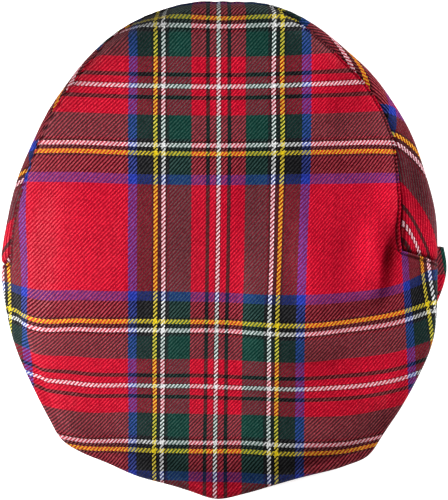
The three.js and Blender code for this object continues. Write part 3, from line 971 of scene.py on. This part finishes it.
def peak_loops(columns, edge_reach):
    """Loops around the peak's board at a row of azimuths: over its top, round its outer edge, back
    below it and round its inner edge. Gives each point's reach, the height of the board's middle
    there, the offset from it, the reach with the outer edge rolled flat, and that edge's rows."""
    slope_rows = 14
    ledge_rows = 5
    round_rows = 9
    half = PEAK_WALL / 2
    section = section_at(columns)
    level = section["rim_height"] - SEAM_GAP
    inner_reach = head_reach(columns)
    inner_height = head_height(columns, inner_reach, level)
    ledge_reach = section["rim_reach"] - PEAK_LEDGE

    slope = np.linspace(0, 1, slope_rows)[:, None]
    ledge = np.linspace(0, 1, ledge_rows + 1)[1:, None]
    slope_start = inner_reach + half
    slope_reach = slope_start + (ledge_reach - slope_start) * slope
    slope_height = inner_height + (level - inner_height) * slope
    ledge_end = edge_reach - half
    ledge_run = ledge_reach + (ledge_end - ledge_reach) * ledge
    top_reach = np.vstack([slope_reach, ledge_run])
    middle = np.vstack([slope_height, np.broadcast_to(level, ledge_run.shape)]) - half
    middle = np.maximum(middle, half)

    arc = np.linspace(np.pi / 2, -np.pi / 2, round_rows + 2)[1:-1, None]
    flat = np.ones_like(top_reach) * half
    rounded = half * np.sin(arc) * np.ones_like(ledge_end)
    outer_reach = ledge_end + half * np.cos(arc)
    inner_arc_reach = slope_start - half * np.cos(arc)
    reach = np.vstack([top_reach, outer_reach, top_reach[::-1], inner_arc_reach[::-1]])
    centre = np.vstack([middle, np.broadcast_to(middle[-1], rounded.shape),
                        middle[::-1], np.broadcast_to(middle[0], rounded.shape)])
    offset = np.vstack([flat, rounded, -flat, rounded[::-1]])

    outer_edge = slice(len(top_reach), len(top_reach) + round_rows)
    rolled_reach = reach.copy()
    rolled_reach[outer_edge] = ledge_end + half * (np.pi / 2 - arc)
    return reach, centre, offset, rolled_reach, outer_edge


def peak_piece():
    """The cloth-covered peak: a thin board from the head opening out to a rounded edge."""
    peak_step = 0.7
    column_reach = 60.0
    end_rounding = 0.98
    start = PEAK_EDGE_ROWS[0][0]
    end = PEAK_EDGE_ROWS[-1][0]
    columns = azimuths_between(start, end, peak_step, column_reach)
    edge_reach = peak_edge_reach(columns)
    reach, centre, offset, rolled_reach, outer_edge = peak_loops(columns, edge_reach)

    width = np.radians(np.minimum(columns - start, end - columns)) * edge_reach
    short = np.clip(1 - width / (PEAK_WALL / 2), 0, end_rounding)
    thin = np.sqrt(1 - short ** 2)
    points = polar_points(columns[None], reach, centre + offset * thin)
    flat_threads = peak_threads(points[..., 0], points[..., 1])
    rolled = polar_points(columns[None], rolled_reach, centre)
    rolled_threads = peak_threads(rolled[..., 0], rolled[..., 1])

    rows, count = reach.shape
    numbers = np.arange(rows * count).reshape(rows, count)
    faces = []
    loop_threads = []
    left = slice(None, -1)
    right = slice(1, None)
    for row in range(rows):
        below = (row + 1) % rows
        on_edge = outer_edge.start - 1 <= row < outer_edge.stop - 1
        threads = rolled_threads if on_edge else flat_threads
        corners = ((row, left), (below, left), (below, right), (row, right))
        faces.extend(np.stack([numbers[corner] for corner in corners], axis=-1).tolist())
        loop_threads.append(np.stack([threads[corner] for corner in corners], axis=1).reshape(-1, 2))
    for ring in (numbers[::-1, 0], numbers[:, -1]):
        faces.append(ring.tolist())
        loop_threads.append(flat_threads.reshape(-1, 2)[ring])
    shades = np.ones(rows * count)
    return mesh_piece("peak", points.reshape(-1, 3) * MM, faces, None, shades, np.vstack(loop_threads))


# Yarn colours, linear
RED = (0.800, 0.001, 0.032)
GREEN = (0.003, 0.066, 0.048)
BLACK = (0.011, 0.011, 0.0135)
BLUE = (0.020, 0.050, 0.520)
YELLOW = (1.000, 0.740, 0.004)
WHITE = (1.000, 1.000, 1.000)

# The 2/2 twill: threads in its repeat and under one float, how much of a float's height bows along
# it, and the height and the share of fuzz, painted sheen and shine of weft floats, which lie lower
TWILL_REPEAT = 4.0
FLOAT_THREADS = 2.0
FLOAT_BOW = 0.65
WEFT_HEIGHT = 0.8
WEFT_RIB = 0.1

# Yarns over this lightness are light. They mix less with the yarns that they cross and get less
# painted shade as weft, and the painted shade in the gaps beside them is deeper.
LIGHT_YARN = 0.7
LIGHT_BLEND = 0.7
BLEND_OVER_LIGHT = 0.55
KEPT_BY_DARK = 1.05
KEPT_BY_LIGHT = 0.8
LIGHT_WEFT_SHADE = 0.9
LIGHT_GAP_SHARE = 0.5

# Yarns mix as the eye sees them, not as light adds up
EYE_GAMMA = 2.2

# Tones of single yarns: patches of fibre, and a number that keeps weft tones apart from warp tones
FIBRE_SCALE = 0.15
FIBRE_DETAIL = 4.0
FIBRE_LEVEL = 0.5
WEFT_TONES_FROM = 1000.5

# Loose fibres, added with a painted sheen on the ribs: the tint of mixed ones, and how much less of them
# red yarn has
FUZZ_TINT = (0.95, 1.10, 0.75)
RED_FUZZ_LOSS = 0.4

# The tartan's half repeat from the centre of its middle white stripe: the count of threads where
# each stripe ends, its colour, and the painted shade of its threads, which lie low beside a light
# stripe and in a narrow one
BESIDE_LIGHT = 0.45
NARROW = 0.6
SETT = (
    (2, WHITE, 1), (3, RED, BESIDE_LIGHT), (9, RED, 1), (13, BLACK, NARROW), (28, RED, 1),
    (51, GREEN, 1), (53, BLACK, 1), (55, BLACK, BESIDE_LIGHT), (59, WHITE, 1),
    (63, BLACK, BESIDE_LIGHT), (67, YELLOW, 1), (69, BLACK, BESIDE_LIGHT), (84, BLACK, 1),
    (93, BLUE, 1), (HALF_SETT, RED, 1),
)


class NodeBuilder:
    """Adds nodes to a tree and links plain values or other nodes' outputs to their inputs."""

    def __init__(self, tree):
        self.tree = tree

    def add(self, kind, inputs=None, **settings):
        """A node of a kind, with its settings made before its inputs are fed."""
        node = self.tree.nodes.new(kind)
        for name, value in settings.items():
            setattr(node, name, value)
        for key, value in (inputs or {}).items():
            self.feed(node.inputs[key], value)
        return node

    def feed(self, socket, value):
        """Links another node's output to an input, or sets a plain value there."""
        if isinstance(value, bpy.types.NodeSocket):
            self.tree.links.new(value, socket)
        else:
            socket.default_value = value

    def math(self, operation, *values):
        """The result of a sum on values."""
        node = self.tree.nodes.new("ShaderNodeMath")
        node.operation = operation
        for socket, value in zip(node.inputs, values):
            self.feed(socket, value)
        return node.outputs[0]

    def mix_value(self, share, first, second):
        """A value that goes from the first to the second by a share."""
        node = self.tree.nodes.new("ShaderNodeMix")
        for socket, value in zip((node.inputs[0], node.inputs[2], node.inputs[3]), (share, first, second)):
            self.feed(socket, value)
        return node.outputs[0]

    def mix_colour(self, share, first, second, blend="MIX"):
        """A colour that goes from the first to a blend with the second by a share."""
        node = self.tree.nodes.new("ShaderNodeMix")
        node.data_type = "RGBA"
        node.blend_type = blend
        for name, value in (("Factor_Float", share), ("A_Color", first), ("B_Color", second)):
            socket = next(s for s in node.inputs if s.identifier == name)
            self.feed(socket, value)
        return next(s for s in node.outputs if s.identifier == "Result_Color")


def stripe_ramp(build, thread):
    """The yarn colour of a thread as the eye sees it, and its painted shade, from its place in the tartan.
    """
    middle = build.math("ADD", thread, 0.5)
    from_pivot = build.math("PINGPONG", middle, HALF_SETT)
    ramp = build.add("ShaderNodeValToRGB", {"Fac": build.math("DIVIDE", from_pivot, HALF_SETT)})
    stops = ramp.color_ramp
    stops.interpolation = "CONSTANT"
    starts = [0.0] + [end / HALF_SETT for end, _, _ in SETT[:-1]]
    while len(stops.elements) < len(SETT):
        stops.elements.new(1.0)
    for element, start, (_, colour, shade) in zip(stops.elements, starts, SETT):
        element.position = start
        element.color = (*colour, shade)
    eye_colour = build.add("ShaderNodeGamma", {"Color": ramp.outputs["Color"], "Gamma": 1 / EYE_GAMMA})
    return eye_colour.outputs["Color"], ramp.outputs["Alpha"]


def float_height(build, across, along):
    """Height of a float at shares of the way across it and along it."""
    side = build.math("MULTIPLY_ADD", across, 2.0, -1.0)
    rounded = build.math("SUBTRACT", 1.0, build.math("MULTIPLY", side, side))
    spare = build.math("SUBTRACT", 1.0, along)
    bow = build.math("MULTIPLY", build.math("MULTIPLY", along, spare), 4.0)
    return build.math("MULTIPLY", rounded, build.math("MULTIPLY_ADD", bow, FLOAT_BOW, 1 - FLOAT_BOW))


def twill_floats(build, warp_place, weft_place):
    """The warp and the weft thread at a place, whether the warp is on top, and the float's height."""
    warp = build.math("FLOOR", warp_place)
    weft = build.math("FLOOR", weft_place)
    in_warp = build.math("SUBTRACT", warp_place, warp)
    in_weft = build.math("SUBTRACT", weft_place, weft)
    step = build.math("FLOORED_MODULO", build.math("ADD", warp, weft), TWILL_REPEAT)
    warp_on_top = build.math("LESS_THAN", step, FLOAT_THREADS - 0.5)
    warp_along = build.math("DIVIDE", build.math("ADD", step, in_weft), FLOAT_THREADS)
    weft_step = build.math("SUBTRACT", step, FLOAT_THREADS)
    weft_along = build.math("DIVIDE", build.math("ADD", weft_step, in_warp), FLOAT_THREADS)
    warp_height = float_height(build, in_warp, warp_along)
    weft_height = build.math("MULTIPLY", float_height(build, in_weft, weft_along), WEFT_HEIGHT)
    return warp, weft, warp_on_top, build.mix_value(warp_on_top, weft_height, warp_height)


def crossed_yarns(build, top, under, yarn_blend):
    """Fuzzy yarns mix their colours where they cross, but lightness stays with the yarn on top.
    Gives the colour seen, and whether the yarn on top is a light one."""
    top_light = build.add("ShaderNodeRGBToBW", {"Color": top}).outputs["Val"]
    under_light = build.add("ShaderNodeRGBToBW", {"Color": under}).outputs["Val"]
    light_yarn = build.math("GREATER_THAN", top_light, LIGHT_YARN)
    light_under = build.math("GREATER_THAN", under_light, LIGHT_YARN)
    dark_blend = build.mix_value(light_under, 1.0, BLEND_OVER_LIGHT)
    own_blend = build.mix_value(light_yarn, dark_blend, LIGHT_BLEND)
    blend = build.math("MULTIPLY", yarn_blend, own_blend)
    lost = build.math("MULTIPLY", build.math("SUBTRACT", top_light, under_light), blend)
    kept = build.math("MULTIPLY", lost, build.mix_value(light_yarn, KEPT_BY_DARK, KEPT_BY_LIGHT))
    kept_colour = build.add("ShaderNodeCombineXYZ", {"X": kept, "Y": kept, "Z": kept})
    mixed = build.add("ShaderNodeVectorMath", {0: build.mix_colour(blend, top, under),
                                               1: kept_colour.outputs[0]}, operation="ADD")
    mixed = build.add("ShaderNodeVectorMath", {0: mixed.outputs[0], 1: (0.0, 0.0, 0.0)},
                      operation="MAXIMUM")
    seen = build.add("ShaderNodeGamma", {"Color": mixed.outputs[0], "Gamma": EYE_GAMMA})
    return seen.outputs["Color"], light_yarn


def yarn_tones(build, warp_place, weft_place, warp, weft, warp_on_top):
    """Every thread, every crossing and longer stretches of yarn differ a little. Gives the sum of
    these tones, which is 0 on average, and the crossing's own tone."""
    top_thread = build.mix_value(warp_on_top, build.math("ADD", weft, WEFT_TONES_FROM), warp)
    thread_tone = build.add("ShaderNodeTexWhiteNoise", {"W": top_thread}, noise_dimensions="1D")
    crossing = build.add("ShaderNodeCombineXYZ", {"X": warp, "Y": weft})
    crossing_tone = build.add("ShaderNodeTexWhiteNoise", {"Vector": crossing.outputs[0]},
                              noise_dimensions="2D")
    place = build.add("ShaderNodeCombineXYZ", {"X": warp_place, "Y": weft_place, "Z": FIBRE_LEVEL})
    fibre = build.add("ShaderNodeTexNoise", {"Vector": place.outputs[0], "Scale": FIBRE_SCALE,
                                             "Detail": FIBRE_DETAIL})
    tones = build.math("MULTIPLY_ADD", crossing_tone.outputs["Value"], 2.0, thread_tone.outputs["Value"])
    tones = build.math("SUBTRACT", build.math("ADD", tones, fibre.outputs["Fac"]), 2.0)
    return tones, crossing_tone.outputs["Value"]


def tartan_twill():
    """Shader group: the tartan's colour and the height of its twill at a place counted in threads."""
    tree = bpy.data.node_groups.new("tartan_twill", "ShaderNodeTree")
    face = tree.interface
    face.new_socket("Threads", in_out="INPUT", socket_type="NodeSocketVector")
    for name in ("Shade", "Gap Shade", "Weft Shade", "Yarn Blend", "Yarn Variation", "Rib Fuzz And Sheen",
                 "Cross Fuzz And Sheen", "Rib Shine"):
        face.new_socket(name, in_out="INPUT", socket_type="NodeSocketFloat")
    face.new_socket("Colour", in_out="OUTPUT", socket_type="NodeSocketColor")
    for name in ("Height", "Shine"):
        face.new_socket(name, in_out="OUTPUT", socket_type="NodeSocketFloat")
    build = NodeBuilder(tree)
    given = build.add("NodeGroupInput").outputs
    result = build.add("NodeGroupOutput").inputs

    uv = build.add("ShaderNodeSeparateXYZ", {"Vector": given["Threads"]}).outputs
    warp_place = build.math("MULTIPLY", uv["X"], THREADS_PER_UV)
    weft_place = build.math("MULTIPLY", uv["Y"], THREADS_PER_UV)
    warp, weft, warp_on_top, height = twill_floats(build, warp_place, weft_place)
    warp_yarn, warp_beside = stripe_ramp(build, warp)
    weft_yarn, weft_beside = stripe_ramp(build, weft)
    top = build.mix_colour(warp_on_top, weft_yarn, warp_yarn)
    under = build.mix_colour(warp_on_top, warp_yarn, weft_yarn)
    seen, light_yarn = crossed_yarns(build, top, under, given["Yarn Blend"])
    tones, crossing_tone = yarn_tones(build, warp_place, weft_place, warp, weft, warp_on_top)

    # Painted shade: weft floats lie lower and darker, except the lightest yarns, which lose less light in
    # the painted hollows too. The gaps between floats and dark threads beside a light stripe are also
    # darkened.
    weft_shade = build.mix_value(light_yarn, given["Weft Shade"], LIGHT_WEFT_SHADE)
    float_shade = build.mix_value(warp_on_top, weft_shade, 1.0)
    beside = build.mix_value(light_yarn, build.math("MULTIPLY", warp_beside, weft_beside), 1.0)
    gap = build.math("MULTIPLY", given["Gap Shade"], build.mix_value(light_yarn, 1.0, LIGHT_GAP_SHARE))
    shift = build.math("MULTIPLY", tones, given["Yarn Variation"])
    soft_shade = build.math("SQRT", given["Shade"])
    shade = build.math("MULTIPLY_ADD", build.math("SQRT", height), build.math("SUBTRACT", 1.0, gap), gap)
    for factor in (build.math("ADD", 1.0, shift), build.math("MULTIPLY", float_shade, beside),
                   build.mix_value(light_yarn, given["Shade"], soft_shade)):
        shade = build.math("MULTIPLY", shade, factor)
    shade_colour = build.add("ShaderNodeCombineColor", {0: shade, 1: shade, 2: shade})
    dyed = build.mix_colour(1.0, seen, shade_colour.outputs["Color"], blend="MULTIPLY")

    # The ribs of the twill get loose fibres with a painted sheen in their colour, and a faint shine.
    rib = build.math("MULTIPLY", build.mix_value(warp_on_top, WEFT_RIB, 1.0), height)
    rib = build.math("MULTIPLY", rib, build.math("ADD", crossing_tone, 0.5))
    rib = build.math("MULTIPLY", rib, given["Shade"])
    top_red = build.add("ShaderNodeSeparateColor", {"Color": top}).outputs[0]
    under_red = build.add("ShaderNodeSeparateColor", {"Color": under}).outputs[0]
    unlike = build.math("ABSOLUTE", build.math("SUBTRACT", top_red, under_red))
    cross_fuzz_and_sheen = build.math("MULTIPLY", build.math("MULTIPLY", rib, unlike), given["Cross Fuzz And Sheen"])
    cross_fuzz_and_sheen = build.math("MULTIPLY", cross_fuzz_and_sheen, build.math("ADD", top_red, 1.0))
    fibres = build.math("MULTIPLY_ADD", top_red, -RED_FUZZ_LOSS, 1.0)
    fuzz_and_sheen = build.math("MULTIPLY", build.math("MULTIPLY", rib, fibres), given["Rib Fuzz And Sheen"])
    fuzz_and_sheen_parts = {i: build.math("MULTIPLY_ADD", cross_fuzz_and_sheen, tint, fuzz_and_sheen)
                  for i, tint in enumerate(FUZZ_TINT)}
    fuzz_and_sheen_colour = build.add("ShaderNodeCombineColor", fuzz_and_sheen_parts)
    colour = build.mix_colour(1.0, dyed, fuzz_and_sheen_colour.outputs["Color"], blend="ADD")
    shine = build.math("MINIMUM", build.math("MULTIPLY", rib, given["Rib Shine"]), 1.0)
    for name, value in (("Colour", colour), ("Height", height), ("Shine", shine)):
        build.feed(result[name], value)
    return tree


def cloth_material(name, twill):
    """Wool twill in the tartan, laid by the piece's own thread map."""
    material = bpy.data.materials.new(name)
    material.use_nodes = True
    tree = material.node_tree
    tree.nodes.clear()
    build = NodeBuilder(tree)
    place = build.add("ShaderNodeUVMap", uv_map="threads")
    # The mesh carries painted shade and highlight: seam shadows, the groove, the folds and turned-down
    # edges
    seam = build.add("ShaderNodeAttribute", attribute_name="painted_shading")
    weave = build.add("ShaderNodeGroup", node_tree=twill)
    # The gap and weft shades paint shade into the weave, and the two fuzz settings add loose fibres with a
    # painted sheen on its ribs
    settings = {
        "Threads": place.outputs["UV"],
        "Shade": seam.outputs["Fac"],
        "Gap Shade": 0.58,
        "Weft Shade": 0.55,
        "Yarn Blend": 0.34,
        "Yarn Variation": 0.26,
        "Rib Fuzz And Sheen": 0.027,
        "Cross Fuzz And Sheen": 0.026,
        "Rib Shine": 0.7,
    }
    for socket, value in settings.items():
        build.feed(weave.inputs[socket], value)
    bump = build.add("ShaderNodeBump", {"Strength": 0.7, "Distance": 0.25 * MM,
                                        "Height": weave.outputs["Height"]})
    surface = build.add("ShaderNodeBsdfPrincipled", {
        "Base Color": weave.outputs["Colour"],
        "Roughness": 0.7,
        "Specular IOR Level": 0.02,
        "Coat Weight": weave.outputs["Shine"],
        "Coat Roughness": 0.55,
        "Normal": bump.outputs["Normal"],
    })
    output = build.add("ShaderNodeOutputMaterial")
    tree.links.new(surface.outputs["BSDF"], output.inputs["Surface"])
    return material


def mottled_material(name, scale, dark, light, settings):
    """A plain finish that varies between two close colours."""
    material = bpy.data.materials.new(name)
    material.use_nodes = True
    build = NodeBuilder(material.node_tree)
    surface = material.node_tree.nodes["Principled BSDF"]
    place = build.add("ShaderNodeTexCoord")
    mottle = build.add("ShaderNodeTexNoise", {"Vector": place.outputs["Object"], "Scale": scale})
    tone = build.mix_colour(mottle.outputs["Fac"], (*dark, 1), (*light, 1))
    for socket, value in {"Base Color": tone, **settings}.items():
        build.feed(surface.inputs[socket], value)
    return material


def thread_material():
    """Dark red sewing thread, dark as the painted shade of its groove, with the fine mottle of twisted
    fibres.
    """
    return mottled_material("sewing_thread", 4000.0, (0.030, 0.003, 0.005), (0.090, 0.005, 0.010), {
        "Roughness": 0.6,
        "Specular IOR Level": 0.3,
    })


def floor_material():
    """White paper with a faint mottle, which glows enough of itself to be seen as pure white."""
    return mottled_material("white_paper", 60.0, (0.83, 0.83, 0.83), (0.87, 0.87, 0.87), {
        "Roughness": 0.95,
        "Specular IOR Level": 0.0,
        "Emission Color": (1, 1, 1, 1),
        "Emission Strength": 0.75,
    })


def finish_piece(piece, node, material):
    """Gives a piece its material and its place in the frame."""
    piece.data.materials.append(material)
    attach(piece, "root")
    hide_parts(node)


def area_light(name, place, aim, size, power):
    """A soft square light at a place, turned to a point."""
    data = bpy.data.lights.new(name, "AREA")
    data.shape = "SQUARE"
    data.size = size
    data.energy = power
    light = bpy.data.objects.new(name, data)
    heading = np.subtract(aim, place)
    light.location = place
    light.rotation_mode = "QUATERNION"
    light.rotation_quaternion = Vector(heading).to_track_quat("-Z", "Y")
    light.visible_camera = False
    bpy.context.scene.collection.objects.link(light)
    return light


def studio_floor():
    """A wide sheet of white paper, which sends no light back up to the cloth."""
    half = 3.0
    corners = [(-half, -half, 0), (half, -half, 0), (half, half, 0), (-half, half, 0)]
    mesh = bpy.data.meshes.new("floor")
    mesh.from_pydata(corners, [], [(0, 1, 2, 3)])
    mesh.materials.append(floor_material())
    floor = bpy.data.objects.new("floor", mesh)
    bpy.context.scene.collection.objects.link(floor)
    floor.visible_diffuse = False


def studio_lights():
    """A dim white sky, a low softbox at the left and a far one at the right."""
    world = bpy.data.worlds.new("studio")
    bpy.context.scene.world = world
    world.use_nodes = True
    background = world.node_tree.nodes["Background"]
    background.inputs["Color"].default_value = (1, 1, 1, 1)
    background.inputs["Strength"].default_value = 0.18
    aim = (0, 0, 0.03)
    area_light("left_softbox", (-0.396, -0.106, 0.287), aim, size=0.25, power=2.8)
    fill = area_light("right_softbox", (0.732, 0.267, 0.45), aim, size=0.30, power=7.2)
    fill.visible_glossy = False


def overhead_camera():
    """The camera, straight over the cap."""
    data = bpy.data.cameras.new("camera")
    data.sensor_width = 36.0
    data.lens = 141.3
    camera = bpy.data.objects.new("camera", data)
    camera.location = (CAMERA["x"] * MM, CAMERA["y"] * MM, CAMERA["z"] * MM)
    bpy.context.scene.collection.objects.link(camera)
    bpy.context.scene.camera = camera
    bpy.context.scene.view_settings.view_transform = "Standard"


tuck_turn = np.degrees(TUCK_UNDER / TEMPLE_REACH)
half_gap_turn = np.degrees(SEAM_GAP / 2 / TEMPLE_REACH)
twill = tartan_twill()
tartan_cloth = cloth_material("tartan_cloth", twill)
peak_cloth = cloth_material("peak_cloth", twill)

crown = crown_top()
right_panel = back_panel("right", RIGHT_TEMPLE - tuck_turn, CENTRE_BACK - half_gap_turn)
left_panel = back_panel("left", CENTRE_BACK - tuck_turn, LEFT_TEMPLE + tuck_turn)
peak = peak_piece()
edge_stitches = stitch_row("edge_stitches", groove_points(), stitch_tree(), thread_material())

finish_piece(crown, "crown_top", tartan_cloth)
finish_piece(right_panel, "back_panel_right", tartan_cloth)
finish_piece(left_panel, "back_panel_left", tartan_cloth)
finish_piece(peak, "peak", peak_cloth)
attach(edge_stitches, "root")

studio_floor()
studio_lights()
overhead_camera()
